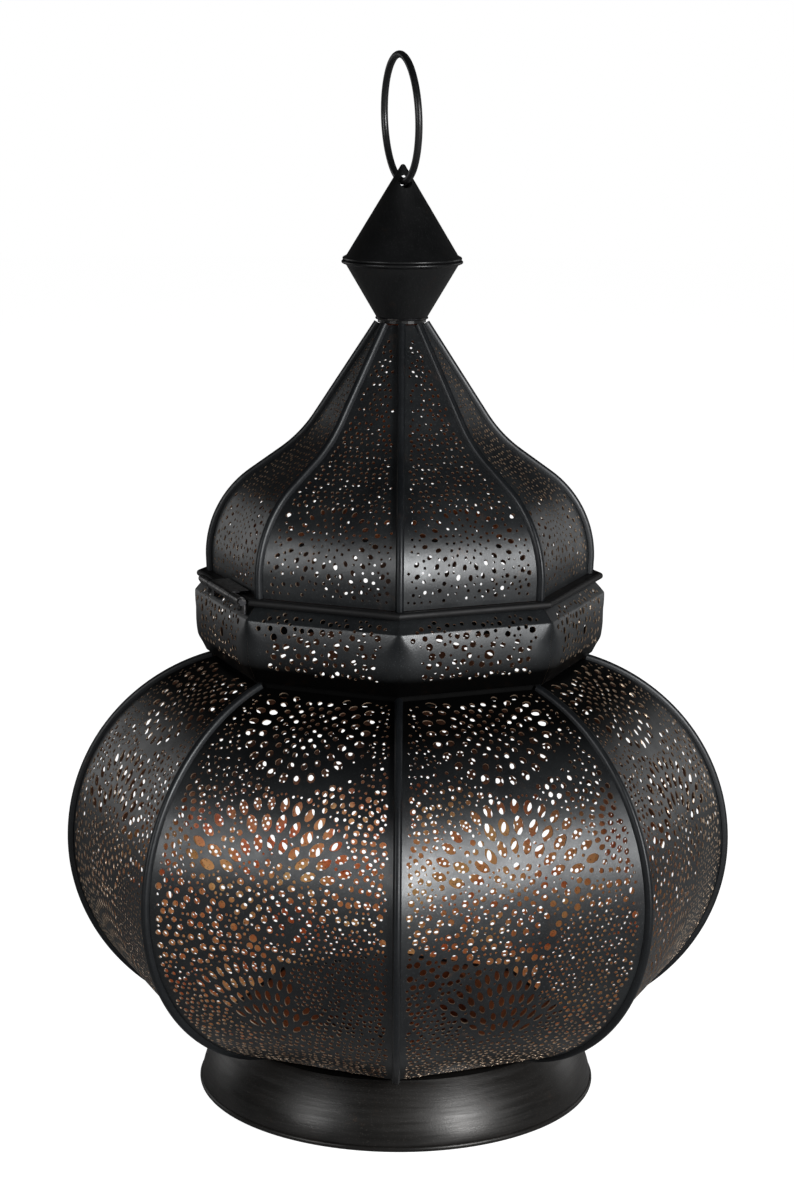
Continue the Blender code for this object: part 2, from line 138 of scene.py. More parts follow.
# ---------------------------------------------------------------- outlines, as (radius, height)
def arc(centre, radius, start, end, steps):
    """Points on a circle from one angle to the other."""
    angles = [start + (end - start) * i / steps for i in range(steps + 1)]
    return [(centre[0] + radius * math.cos(a), centre[1] + radius * math.sin(a)) for a in angles]


def body_outline(steps):
    """Corner radius against height: two arcs that meet at the widest place."""
    low_centre = (BODY_WIDE_R - BODY_LOW_ARC, BODY_WIDE_Z)
    high_centre = (BODY_WIDE_R - BODY_HIGH_ARC, BODY_WIDE_Z)
    low_angle = -math.acos((BODY_LOW_R - low_centre[0]) / BODY_LOW_ARC)
    high_angle = math.asin((BODY_TOP_Z - BODY_WIDE_Z) / BODY_HIGH_ARC)
    low = arc(low_centre, BODY_LOW_ARC, low_angle, 0.0, steps)
    return low + arc(high_centre, BODY_HIGH_ARC, 0.0, high_angle, steps)[1:]


def collar_outline():
    """A sole, a bevel, a bowed band and a bevel up to the mouth, with rounded bends."""
    points = [(COLLAR_SOLE_R, COLLAR_FOOT_Z), (COLLAR_MOUTH_R + 0.0003, COLLAR_FOOT_Z + 0.0001),
              (COLLAR_R - COLLAR_BOW, COLLAR_LOW_Z), (COLLAR_R, 0.5 * (COLLAR_LOW_Z + COLLAR_HIGH_Z)),
              (COLLAR_R - COLLAR_BOW, COLLAR_HIGH_Z), (COLLAR_MOUTH_R, COLLAR_TOP_Z)]
    return rounded(points, COLLAR_BENDS)


def dome_outline(steps):
    """An upright wall, a bulge, a straight slope, a hollow curve, and a straight run to the top."""
    bulge = arc((DOME_R - DOME_ARC, DOME_WALL_Z), DOME_ARC, 0.0, DOME_TURN, steps)
    end = bulge[-1]
    slope_end = (end[0] - DOME_SLOPE * math.sin(DOME_TURN), end[1] + DOME_SLOPE * math.cos(DOME_TURN))
    centre = (slope_end[0] + DOME_NECK_ARC * math.cos(DOME_TURN),
              slope_end[1] + DOME_NECK_ARC * math.sin(DOME_TURN))
    hollow = arc(centre, DOME_NECK_ARC, math.pi + DOME_TURN, math.pi + DOME_NECK_TURN, steps // 2)
    last = hollow[-1]
    top_z = last[1] + (last[0] - DOME_TOP_R) / math.tan(DOME_NECK_TURN)
    return [(DOME_R - 0.0002, DOME_FOOT_Z)] + bulge + hollow + [(DOME_TOP_R, top_z)]


def rounded(points, radii, steps=6):
    """The polyline with each corner turned into a curve of about its radius."""
    result = [points[0]]
    for i in range(1, len(points) - 1):
        corner = Vector(points[i])
        back = (Vector(points[i - 1]) - corner).normalized()
        ahead = (Vector(points[i + 1]) - corner).normalized()
        half = 0.5 * back.angle(ahead)
        reach = radii[i] / math.tan(half)
        start, end = corner + back * reach, corner + ahead * reach
        for k in range(steps + 1):
            t = k / steps
            result.append(tuple(start * (1 - t) ** 2 + corner * 2 * t * (1 - t) + end * t ** 2))
    result.append(points[-1])
    return result


def filled(outline, step):
    """The outline with extra points on its long stretches."""
    result = [outline[0]]
    for (r0, z0), (r1, z1) in zip(outline, outline[1:]):
        count = max(1, round(math.hypot(r1 - r0, z1 - z0) / step))
        for k in range(1, count + 1):
            result.append((r0 + (r1 - r0) * k / count, z0 + (z1 - z0) * k / count))
    return result


def outline_normals(points):
    """Unit normals at the points of an outline, pointing away from the axis."""
    runs = np.diff(points, axis=0)
    runs /= np.linalg.norm(runs, axis=1)[:, None]
    sides = np.column_stack((runs[:, 1], -runs[:, 0]))
    mean = np.vstack((sides[:1], sides[:-1] + sides[1:], sides[-1:]))
    return mean / np.linalg.norm(mean, axis=1)[:, None]


class Side:
    """One flat side of the shell, unrolled: x across it, y along its outline from the bottom."""

    NO_KITE = ((0.0, 0.0), (1.0, 0.0))
    TINY = 1e-6

    def __init__(self, corner_outline, kite=NO_KITE):
        flats = np.array(corner_outline) * (FLAT, 1.0)
        self.kite = np.array(kite)
        self.points = flats
        self.normals = outline_normals(flats)
        steps = np.linalg.norm(np.diff(flats, axis=0), axis=1)
        self.y = np.concatenate(([0.0], np.cumsum(steps)))

    def half(self, y, depth=0.0):
        """Half the side's width at a distance along it."""
        out = np.interp(y, self.y, self.points[:, 0])
        out = out - depth * np.interp(y, self.y, self.normals[:, 0])
        return out * MITRE - SEAM_GAP

    def look(self, y, columns):
        """Interpolated values along the side, one column each."""
        return np.column_stack([np.interp(y, self.y, column) for column in columns.T])

    def kite_width(self, y):
        """How far the round of the corner reaches at a distance along the side."""
        return np.interp(y, self.kite[:, 0], self.kite[:, 1])

    def rounding(self, flat_points):
        """How strongly each point is drawn into the round of its corner, from 0 to 1."""
        x, y = flat_points[:, 0], flat_points[:, 1]
        width = self.kite_width(y)
        inset = self.half(y) - np.abs(x)
        drawn = np.clip(1.0 - inset / np.maximum(width, self.TINY), 0.0, 1.0)
        return np.where(width > 0.0, drawn, 0.0)

    def place(self, flat_points, depth, heading):
        """Points on the side that faces the heading, moved inward by the depth."""
        x, y = flat_points[:, 0], flat_points[:, 1]
        depth = depth + KITE_DEPTH * self.kite_width(y) * self.rounding(flat_points) ** 2
        shelf = self.look(y, self.points) - depth[:, None] * self.look(y, self.normals)
        across = x * self.half(y, depth) / self.half(y)
        away = np.array((math.sin(heading), -math.cos(heading), 0.0))
        beside = np.array((math.cos(heading), math.sin(heading), 0.0))
        up = np.array((0.0, 0.0, 1.0))
        return shelf[:, :1] * away + across[:, None] * beside + shelf[:, 1:] * up

    def facing(self, flat_points, heading):
        """Unit normals, turned towards the corner where it is round."""
        normal = self.look(flat_points[:, 1], self.normals)
        around = heading + np.sign(flat_points[:, 0]) * HALF_TURN * self.rounding(flat_points)
        result = np.column_stack((normal[:, 0] * np.sin(around), -normal[:, 0] * np.cos(around),
                                  normal[:, 1]))
        return result / np.linalg.norm(result, axis=1)[:, None]


# ---------------------------------------------------------------- pierced patterns, in millimetres
class Pattern:
    """Holes on an unrolled side that keep a web of metal between them."""

    CELL = 4.0                       # of the grid that finds a hole's neighbours
    ROW = 0.87                       # distance of a fill's rows, as a share of its pitch
    SIZE_RANGE = (0.92, 1.08)        # hand-cut holes are never quite alike
    WIDTH_RANGE = (0.95, 1.05)
    SHIFT_RANGE = (-0.08, 0.08)
    EDGE_RANGE = (0.96, 1.04)
    FILL_RANGE = (0.85, 1.15)

    def __init__(self, side, seed, side_margin, low_margin, high_margin, web):
        self.side = side
        self.random = random.Random(seed)
        self.side_margin = side_margin
        self.low = low_margin
        self.high = side.y[-1] / MM - high_margin
        self.web = web
        self.holes = []
        self.cells = collections.defaultdict(list)
        self.plain = []              # places kept free of holes, as functions of (x, y)

    def half(self, y):
        """Half the side's width at y."""
        return float(self.side.half(y * MM)) / MM

    @staticmethod
    def reach(hole, angle):
        """How far a hole extends from its centre in one direction."""
        turn = angle - hole.angle
        return math.hypot(hole.long * math.cos(turn), hole.short * math.sin(turn))

    def fits(self, hole):
        """Whether the hole keeps clear of the edges, the plain places and its neighbours."""
        if not self.low <= hole.y - hole.long or not hole.y + hole.long <= self.high:
            return False
        if abs(hole.x) + self.reach(hole, 0.0) > self.half(hole.y) - self.side_margin:
            return False
        if any(plain(hole.x, hole.y) for plain in self.plain):
            return False
        column, row = int(hole.x // self.CELL), int(hole.y // self.CELL)
        for i in (column - 1, column, column + 1):
            for j in (row - 1, row, row + 1):
                for other in self.cells[i, j]:
                    dx, dy = other.x - hole.x, other.y - hole.y
                    angle = math.atan2(dy, dx)
                    room = self.reach(hole, angle) + self.reach(other, angle) + self.web
                    if math.hypot(dx, dy) < room:
                        return False
        return True

    def add(self, x, y, long, short=None, angle=0.0, pointed=False):
        """One hole, unless there is no room for it."""
        vary = self.random.uniform
        size = vary(*self.SIZE_RANGE)
        hole = Hole(x + vary(*self.SHIFT_RANGE), y + vary(*self.SHIFT_RANGE), long * size,
                    (short or long) * size * vary(*self.WIDTH_RANGE),
                    angle + vary(*self.SHIFT_RANGE), pointed)
        if self.fits(hole):
            self.holes.append(hole)
            self.cells[int(hole.x // self.CELL), int(hole.y // self.CELL)].append(hole)

    def ring(self, centre, radius, count, long, short=None, start=0.0, end=360.0, pointed=False,
             wide=1.0):
        """Holes round a centre, from one angle to the other, each pointing away from it."""
        whole = abs(end - start) >= 360.0
        for i in range(count):
            share = i / count if whole else i / max(count - 1, 1)
            angle = math.radians(start + (end - start) * share)
            x = centre[0] + wide * radius * math.cos(angle)
            y = centre[1] + radius * math.sin(angle)
            self.add(x, y, long, short, angle, pointed)

    def rosette(self, x, y, radius, long, short):
        """Six small holes round a point, if there is room for all of them."""
        angles = [k * math.pi / 3 for k in range(6)]
        if all(self.fits(Hole(x + radius * math.cos(angle), y + radius * math.sin(angle), long, short,
                              angle, False)) for angle in angles):
            self.ring((x, y), radius, len(angles), long, short)

    def fill(self, low, high, pitch, size, jitter=0.22):
        """Scattered round holes wherever there is still room."""
        rows = int((high - low) / (pitch * self.ROW)) + 1
        for row in range(rows):
            y = low + row * pitch * self.ROW
            half = self.half(y)
            count = int(2 * half / pitch) + 1
            for i in range(count):
                x = -half + (i + 0.5 * (row % 2)) * pitch
                x += self.random.uniform(-jitter, jitter) * pitch
                self.add(x, y + self.random.uniform(-jitter, jitter) * pitch,
                         size * self.random.uniform(*self.FILL_RANGE))

    def outline(self, hole):
        """The hole's edge as points in metres, more of them round a bigger hole."""
        count = 7 if hole.long < 0.62 else 9
        if hole.pointed or hole.long > 1.0:
            count = 12
        c, s = math.cos(hole.angle), math.sin(hole.angle)
        points = []
        for k in range(count):
            t = 2.0 * math.pi * (k + 0.5 * (not hole.pointed)) / count
            ahead = hole.long * math.cos(t)
            beside = hole.short * math.sin(t)
            if hole.pointed:
                beside *= abs(math.sin(t)) ** 0.25
            rough = self.random.uniform(*self.EDGE_RANGE)
            points.append(((hole.x + rough * (ahead * c - beside * s)) * MM,
                           (hole.y + rough * (ahead * s + beside * c)) * MM))
        return points


def mandala(pattern, centre, rings, wide=1.0):
    """Rings of holes round one centre, as (radius, count, length, width)."""
    for i, (radius, count, long, short) in enumerate(rings):
        start = 180.0 * (i % 2) / count
        pattern.ring(centre, radius, count, long, short, start, start + 360.0, wide=wide)


def body_pattern(side):
    """A mandala under the collar, a fan of leaves with a flower below it, and a lower fan.

    Each hole is (length, width), both from its centre; a place is (x, y).
    """
    pattern = Pattern(side, seed=7, side_margin=2.4, low_margin=2.0, high_margin=0.8, web=0.34)
    top, heart, low = (0.0, 131.5), (-1.5, 84.0), (-2.0, 35.0)

    def crescent(x, y):
        """The smooth crescent below the mandala."""
        angle = math.degrees(math.atan2(x - top[0], top[1] - y))
        return 18.2 < math.hypot((x - top[0]) / 1.1, y - top[1]) < 21.0 and -14 < angle < 66

    def sweep(x, y):
        """The thin plain arc beside the flower."""
        angle = math.degrees(math.atan2(heart[1] - y, x - heart[0]))
        return 12.6 < math.hypot(x - heart[0], y - heart[1]) < 14.6 and 18 < angle < 78

    pattern.plain = [crescent, sweep]
    mandala(pattern, top, [(0.0, 1, 0.65, 0.65), (2.4, 6, 0.65, 0.6), (4.8, 11, 0.74, 0.66),
                           (7.2, 15, 0.8, 0.72), (9.7, 19, 0.88, 0.78), (13.2, 21, 1.2, 0.95),
                           (17.0, 26, 1.5, 1.15)], wide=0.97)
    pattern.ring(heart, 12.9, 9, 2.3, 1.3, 24, 156, pointed=True)
    pattern.ring(heart, 18.2, 12, 2.5, 1.45, 16, 164, pointed=True)
    pattern.ring(heart, 23.4, 16, 2.1, 1.25, 18, 162, pointed=True)
    mandala(pattern, heart, [(0.0, 1, 0.6, 0.6), (2.4, 6, 0.75, 0.62), (4.9, 10, 0.95, 0.8),
                             (7.6, 14, 1.1, 0.9), (10.3, 18, 1.0, 0.85)])
    for centre, start, end in (((33.0, 100.0), 90, 270), ((-34.0, 103.0), -90, 90)):
        pattern.add(*centre, 0.8)
        for k, radius in enumerate((2.9, 5.6, 8.3, 11.0)):
            pattern.ring(centre, radius, 5 + 4 * k, 0.95, 0.75, start, end)
    for row in range(6):
        for column in range(7):
            x, y = 7.5 + 4.9 * (column + 0.5 * (row % 2)), 53.5 + 4.4 * row
            pattern.rosette(x, y, 1.32, 0.5, 0.4)
    for k, radius in enumerate((9.5, 14.0, 18.6, 23.2, 27.6)):
        pattern.ring(low, radius, 5 + 3 * k, 1.75, 0.8, 48 - k, 132 + k, pointed=True)
    pattern.plain.append(lambda x, y: math.hypot((x - top[0]) / 0.97, y - top[1]) < 19.4)
    pattern.fill(116.0, 146.0, 3.0, 0.50)
    pattern.fill(88.0, 116.0, 2.45, 0.86)
    pattern.fill(62.0, 90.0, 2.45, 0.96)
    pattern.fill(1.0, 62.0, 2.0, 0.62)
    pattern.fill(2.0, 110.0, 1.7, 0.42)
    pattern.fill(110.0, 146.0, 2.0, 0.36)
    return pattern


def collar_pattern(side):
    """Uneven round holes on the band and bevels, but none on the round of the corners."""
    pattern = Pattern(side, seed=11, side_margin=2.6, low_margin=3.8, high_margin=1.3, web=0.5)
    pattern.plain = [lambda x, y: pattern.half(y) - abs(x) < side.kite_width(y * MM) / MM + 1.3]
    pattern.add(3.5, 14.5, 1.55, 1.45)
    pattern.fill(12.5, 21.0, 2.7, 0.90, jitter=0.30)
    pattern.fill(9.0, 13.5, 2.5, 0.72, jitter=0.30)
    pattern.fill(21.0, 27.5, 2.5, 0.70, jitter=0.30)
    pattern.fill(8.6, 27.5, 1.9, 0.46, jitter=0.35)
    return pattern


def dome_pattern(side):
    """A mandala on the bulge, bigger holes in its corners, and small holes up to the top."""
    pattern = Pattern(side, seed=5, side_margin=2.0, low_margin=1.5, high_margin=3.0, web=0.42)
    centre = (0.0, 18.5)
    mandala(pattern, centre, [(0.0, 1, 0.42, 0.42), (1.9, 6, 0.42, 0.36), (3.7, 11, 0.45, 0.38),
                              (5.5, 16, 0.5, 0.4)], wide=1.12)
    pattern.ring(centre, 8.0, 18, 0.95, 0.62, wide=1.18)
    pattern.ring(centre, 10.9, 13, 0.9, 0.64, start=172, end=368, wide=1.18)
    for x in (-15.6, 15.6):
        for y in (9.0, 12.2, 24.0):
            pattern.add(x * (1.0 if y < 20 else 0.93), y, 0.9, 0.65, 0.7)
    pattern.fill(2.0, 8.0, 3.1, 0.62, jitter=0.3)
    pattern.fill(27.0, 44.0, 1.9, 0.45)
    pattern.fill(2.0, 30.0, 2.2, 0.40)
    pattern.fill(40.0, 86.0, 1.7, 0.44)
    return pattern


# ---------------------------------------------------------------- making meshes
INSIDE_ONLY = 1                      # the triangulation keeps what lies within an outline
NEAR = 1e-6                          # points closer than this become one


def flat_mesh(pattern, side, seam_lines):
    """The unrolled sheet with its holes cut out, as points, triangles and the edges round them.

    Seam lines are the distances of extra mesh lines from the two edges at the corners.
    """
    rows = len(side.y)
    half = side.half(side.y)
    points = [Vector((-half[i], side.y[i])) for i in range(rows)]
    points += [Vector((half[i], side.y[i])) for i in range(rows)]
    edge = list(range(rows, 2 * rows)) + list(range(rows - 1, -1, -1))
    outlines = [edge]
    lines = [(i, i + rows) for i in range(1, rows - 1)]
    for inset in seam_lines:
        for sign in (-1.0, 1.0):
            first = len(points)
            points += [Vector((sign * (half[i] - inset), side.y[i])) for i in range(rows)]
            lines += [(first + i, first + i + 1) for i in range(rows - 1)]
    for hole in pattern.holes:
        first = len(points)
        points += [Vector(point) for point in pattern.outline(hole)]
        outlines.append(list(range(first, len(points))))
    found, _, faces, _, _, origins = delaunay_2d_cdt(points, lines, outlines, INSIDE_ONLY, NEAR, True)
    # A triangle of metal lies in the sheet's outline and in no hole's.
    kept = np.array([face for face, origin in zip(faces, origins) if list(origin) == [0]])
    coords = np.array([tuple(point) for point in found])
    a, b, c = (coords[kept[:, k]] for k in range(3))
    area = (b[:, 0] - a[:, 0]) * (c[:, 1] - a[:, 1]) - (b[:, 1] - a[:, 1]) * (c[:, 0] - a[:, 0])
    kept[area < 0.0] = kept[area < 0.0][:, ::-1]
    used, kept = np.unique(kept, return_inverse=True)
    kept = kept.reshape(-1, 3)
    # An edge that no other triangle runs along the other way lies round a hole or the sheet.
    edges = np.vstack((kept[:, (0, 1)], kept[:, (1, 2)], kept[:, (2, 0)]))
    total = len(used)
    key = edges[:, 0] * total + edges[:, 1]
    twin = edges[:, 1] * total + edges[:, 0]
    return coords[used], kept, edges[~np.isin(key, twin)]


def link(name, mesh, *materials):
    """Put a mesh into the scene with its materials, and return its object."""
    for material in materials:
        mesh.materials.append(material)
    obj = bpy.data.objects.new(name, mesh)
    bpy.context.scene.collection.objects.link(obj)
    return obj


def pierced_sheet(name, side, cut, heading, materials):
    """A sheet with real thickness, with a material each for outside, inside and the cut walls."""
    flat, triangles, rim = cut
    total = len(flat)
    outside = side.place(flat, 0.0, heading)
    inside = side.place(flat, SHEET, heading)
    points = np.vstack((outside, inside))
    walls = np.column_stack((rim[:, 1], rim[:, 0], rim[:, 0] + total, rim[:, 1] + total))
    faces = triangles.tolist() + (triangles[:, ::-1] + total).tolist() + walls.tolist()
    mesh = bpy.data.meshes.new(name)
    mesh.from_pydata(points.tolist(), [], faces)
    mesh.shade_smooth()

    facing = side.facing(flat, heading)
    across = points[walls[:, 1]] - points[walls[:, 0]]
    down = points[walls[:, 3]] - points[walls[:, 0]]
    wall_facing = np.cross(across, down)
    tiny = 1e-12                     # a wall with no area keeps a normal of zero
    wall_facing /= np.maximum(np.linalg.norm(wall_facing, axis=1), tiny)[:, None]
    loops = np.vstack((facing[triangles].reshape(-1, 3), -facing[triangles[:, ::-1]].reshape(-1, 3),
                       np.repeat(wall_facing, 4, axis=0)))
    mesh.normals_split_custom_set(loops.tolist())
    kinds = np.repeat((0, 1, 2), (len(triangles), len(triangles), len(walls)))
    obj = link(name, mesh, *materials)
    mesh.polygons.foreach_set("material_index", kinds.astype(np.int32))
    return obj


def loft(name, sections, material, closed=False, sharp=SHARP_EDGE):
    """Skin through equal rings of points, capped at both ends unless the rings close."""
    count = len(sections[0])
    points = [tuple(point) for section in sections for point in section]
    faces = []
    rings = len(sections)
    for i in range(rings if closed else rings - 1):
        here, there = i * count, (i + 1) % rings * count
        for k in range(count):
            after = (k + 1) % count
            faces.append((here + k, here + after, there + after, there + k))
    if not closed:
        faces.append(tuple(range(count))[::-1])
        faces.append(tuple((rings - 1) * count + k for k in range(count)))
    mesh = bpy.data.meshes.new(name)
    mesh.from_pydata(points, [], faces)
    mesh.shade_smooth()
    mesh.set_sharp_from_angle(angle=sharp)
    return link(name, mesh, material)


def seam_strip(name, corner_outline, heading, material):
    """A strip with a rounded back that covers the seam at the heading."""
    points = np.array(corner_outline)
    normals = outline_normals(points)
    away = np.array((math.sin(heading), -math.cos(heading), 0.0))
    beside = np.array((math.cos(heading), math.sin(heading), 0.0))
    up = np.array((0.0, 0.0, 1.0))
    section = [(STRIP_HALF * math.copysign(abs(math.cos(a)) ** 0.7, math.cos(a)),
                -STRIP_SINK + (STRIP_CREST + STRIP_SINK) * math.sin(a) ** 0.8)
               for a in (math.pi * k / STRIP_STEPS for k in range(STRIP_STEPS + 1))]
    section.append((0.0, STRIP_BACK))
    sections = []
    for (radius, height), (nr, nz) in zip(points, normals):
        sections.append([away * (radius + nr * rise) + beside * across + up * (height + nz * rise)
                         for across, rise in section])
    return loft(name, sections, material, sharp=math.radians(60))


def turned(name, outline, steps, material, lap=0.0, lap_heading=0.0):
    """A closed outline turned about the lantern's axis; lap raises one edge of a rolled sheet."""
    sections = []
    for i in range(steps):
        angle = 2.0 * math.pi * i / steps
        behind = (angle - lap_heading) % (2.0 * math.pi) / (2.0 * math.pi)
        rise = lap * max(0.0, 1.0 - behind * LAP_FADE) if behind * steps >= 1.0 else 0.0
        raised = [(radius + rise * (radius > AXIS_R), height) for radius, height in outline]
        sections.append([(radius * math.sin(angle), -radius * math.cos(angle), height)
                         for radius, height in raised])
    return loft(name, sections, material, closed=True)


# ---------------------------------------------------------------- materials
class Nodes:
    """Shorthand for building a material's nodes."""

    def __init__(self, name):
        self.material = bpy.data.materials.new(name)
        self.material.use_nodes = True
        self.tree = self.material.node_tree
        self.shader = self.tree.nodes["Principled BSDF"]
        self.place = self.tree.nodes.new("ShaderNodeTexCoord").outputs["Object"]

    def node(self, kind, **inputs):
        """A node with its inputs linked to sockets or set to values."""
        node = self.tree.nodes.new(kind)
        for key, value in inputs.items():
            socket = node.inputs[key.replace("_", " ")]
            if isinstance(value, bpy.types.NodeSocket):
                self.tree.links.new(value, socket)
            else:
                socket.default_value = value
        return node

    def noise(self, scale, detail=3.0, roughness=0.55, stretch=None):
        """Noise with this many waves to a metre, or stretched by a scale for each axis."""
        place = self.place
        if stretch:
            place = self.node("ShaderNodeMapping", Vector=place, Scale=stretch).outputs["Vector"]
        return self.node("ShaderNodeTexNoise", Vector=place, Scale=scale, Detail=detail,
                         Roughness=roughness).outputs["Fac"]

    def height(self):
        """Height above the floor, in metres."""
        return self.node("ShaderNodeSeparateXYZ", Vector=self.place).outputs["Z"]

    def ramp(self, value, low, high, to_low=0.0, to_high=1.0):
        """The value's stretch from low to high, turned into the one from to_low to to_high."""
        node = self.node("ShaderNodeMapRange", Value=value)
        for key, number in (("From Min", low), ("From Max", high), ("To Min", to_low),
                            ("To Max", to_high)):
            node.inputs[key].default_value = number
        return node.outputs["Result"]

    def blend(self, share, first, second):
        """The first colour where the share is 0, and the second where it is 1."""
        node = self.tree.nodes.new("ShaderNodeMix")
        node.data_type = "RGBA"
        self.tree.links.new(share, node.inputs[0])
        for index, value in ((6, first), (7, second)):
            if isinstance(value, bpy.types.NodeSocket):
                self.tree.links.new(value, node.inputs[index])
            else:
                node.inputs[index].default_value = (*value, 1.0)
        return node.outputs[2]

    def multiply(self, first, second):
        """The product of two sockets."""
        node = self.tree.nodes.new("ShaderNodeMath")
        node.operation = "MULTIPLY"
        self.tree.links.new(first, node.inputs[0])
        self.tree.links.new(second, node.inputs[1])
        return node.outputs[0]

    def bump(self, height, distance, under=None):
        """A surface raised by up to the distance, on top of the bump under it."""
        node = self.node("ShaderNodeBump", Height=height, Distance=distance, Strength=1.0)
        if under:
            self.tree.links.new(under, node.inputs["Normal"])
        return node.outputs["Normal"]

    def set(self, **inputs):
        """Link or set the shader's inputs, and return the material."""
        for key, value in inputs.items():
            socket = self.shader.inputs[key.replace("_", " ")]
            if isinstance(value, bpy.types.NodeSocket):
                self.tree.links.new(value, socket)
            else:
                socket.default_value = value
        return self.material


LACQUER_METALLIC = 0.35
RUBBED = (0.16, 0.085, 0.045)        # brown metal where the lacquer is thin
# Near black, painted where shade falls under the collar.
SHADE_BLACK = (0.0015, 0.0015, 0.0015)
# Dark brown painted over the inside copper towards the top, a painted shade.
SHADE_COPPER = (0.050, 0.026, 0.017)


def black_coat(name, dark, light, rough, wear, dent=0.00012, streak=None, shade_heights=None):
    """Satin black lacquer on sheet metal, uneven in tone and gloss, rubbed thin in places.

    Dent is how deep the sheet's unevenness is, and streak the noise's scale along each axis where
    the metal was spun. Shade heights is (lit height, shaded height): between the two the colour is painted
    down to near black and the gloss goes, a painted shade.
    """
    n = Nodes(name)
    cloud = n.noise(45.0, 5.0, 0.6)
    colour = n.blend(n.ramp(cloud, 0.35, 0.68), dark, light)
    speck = n.noise(2600.0, 2.0)
    colour = n.blend(n.ramp(speck, 0.60, 0.74), colour, tuple(2.2 * v for v in light))
    patch = n.multiply(n.ramp(n.noise(160.0, 6.0, 0.7), 0.60, 0.72),
                       n.ramp(n.noise(900.0, 4.0, 0.7), 0.40, 0.66, 0.0, wear))
    colour = n.blend(patch, colour, RUBBED)
    normal = n.bump(n.noise(70.0, 2.0), dent)
    normal = n.bump(n.noise(1900.0, 3.0), 0.00002, normal)
    if streak:
        lines = n.noise(1.0, 4.0, 0.6, streak)
        gloss = n.ramp(lines, 0.3, 0.7, rough - 0.08, rough + 0.12)
        normal = n.bump(lines, 0.00003, normal)
    else:
        gloss = n.ramp(n.noise(110.0, 6.0, 0.65), 0.25, 0.75, rough - 0.07, rough + 0.10)
    # Painted shade: between the lit and the shaded height the colour is painted near black, and the
    # specular and metallic sheen are taken away.
    if shade_heights:
        unshaded = n.ramp(n.height(), *shade_heights, 1.0, 0.0)
        colour = n.blend(unshaded, SHADE_BLACK, colour)
        n.set(Specular_IOR_Level=n.ramp(unshaded, 0.0, 1.0, 0.04, 0.5),
              Metallic=n.ramp(unshaded, 0.0, 1.0, 0.0, LACQUER_METALLIC))
    else:
        n.set(Metallic=LACQUER_METALLIC)
    return n.set(Base_Color=colour, Roughness=gloss, Normal=normal)


def copper_side(name, bright, dark, rough, metallic=0.75, top_shade=None):
    """The copper coloured inside, sprayed unevenly.

    Top shade is (lit height, shaded height): from the one to the other the copper is painted dark, a
    painted shade towards the top.
    """
    n = Nodes(name)
    cloud = n.noise(60.0, 5.0, 0.6)
    colour = n.blend(n.ramp(cloud, 0.36, 0.66), dark, bright)
    speck = n.noise(1500.0, 3.0)
    colour = n.blend(n.ramp(speck, 0.56, 0.72), colour, tuple(0.35 * v for v in dark))
    # Painted shade: the copper is painted darker towards the top of the inside.
    if top_shade:
        colour = n.blend(n.ramp(n.height(), *top_shade), colour, SHADE_COPPER)
    gloss = n.ramp(n.noise(240.0, 5.0, 0.6), 0.25, 0.75, rough - 0.08, rough + 0.12)
    normal = n.bump(n.noise(1100.0, 3.0), 0.00003)
    return n.set(Base_Color=colour, Roughness=gloss, Normal=normal, Metallic=metallic)


def worn_steel(name):
    """Blackened steel that shows bare metal where it is handled."""
    n = Nodes(name)
    cloud = n.noise(500.0, 5.0, 0.65)
    colour = n.blend(n.ramp(cloud, 0.52, 0.72), (0.022, 0.022, 0.024), (0.15, 0.14, 0.13))
    gloss = n.ramp(n.noise(900.0, 4.0), 0.3, 0.7, 0.26, 0.44)
    normal = n.bump(n.noise(2200.0, 3.0), 0.00002)
    return n.set(Base_Color=colour, Roughness=gloss, Normal=normal, Metallic=0.8)


SHEET_TONES = (0.008, 0.009, 0.0105), (0.022, 0.0245, 0.026)
SPUN = (30.0, 30.0, 700.0)           # fine lines round the foot

sheet_black = black_coat("Pierced_sheet_black", *SHEET_TONES, rough=0.32, wear=0.40)
# Painted shade: the body's top under the collar is painted near black and dull, fading in from 0.104 m to
# 0.122 m.
body_black = black_coat("Body_sheet_black", *SHEET_TONES, rough=0.32, wear=0.40, shade_heights=(0.104, 0.122))
# Painted shade: the collar's lower bevel is painted near black and dull, fading in from 0.1395 m down to
# 0.134 m.
collar_black = black_coat("Collar_sheet_black", *SHEET_TONES, rough=0.34, wear=0.30,
                          shade_heights=(0.1395, 0.1340))
strip_black = black_coat("Seam_strip_black", (0.005, 0.006, 0.0075), (0.012, 0.014, 0.016),
                         rough=0.38, wear=0.18)
# Painted shade: darker than the sheet's black, and painted near black and dull from 0.05 m up to 0.12 m,
# which takes in the neck fold under the collar.
rings_black_shaded = black_coat("Flat_rings_black_painted_shade", (0.003, 0.003, 0.0035), (0.006, 0.006, 0.0065),
                         rough=0.62, wear=0.10, shade_heights=(0.050, 0.120))
# Painted shade: darker than the sheet's black, for the shade between the dome and the collar.
rim_black_shaded = black_coat("Lid_rim_black_painted_shade", (0.002, 0.002, 0.0025), (0.005, 0.005, 0.0055),
                       rough=0.60, wear=0.10)
foot_black = black_coat("Foot_black", (0.008, 0.0075, 0.007), (0.018, 0.0165, 0.015),
                        rough=0.34, wear=0.15, dent=0.00006, streak=SPUN)
finial_black = black_coat("Finial_black", (0.005, 0.0053, 0.0057), (0.011, 0.0115, 0.012),
                          rough=0.33, wear=0.10, dent=0.00010)
wire_black = black_coat("Ring_black", (0.008, 0.0085, 0.009), (0.016, 0.016, 0.017),
                        rough=0.32, wear=0.12, dent=0.00003)
# Painted shade: the body's inside copper is painted dark upward from 0.042 m to 0.070 m.
inside_copper = copper_side("Inside_copper", (0.95, 0.58, 0.24), (0.68, 0.15, 0.05),
                            rough=0.46, metallic=0.45, top_shade=(0.042, 0.070))
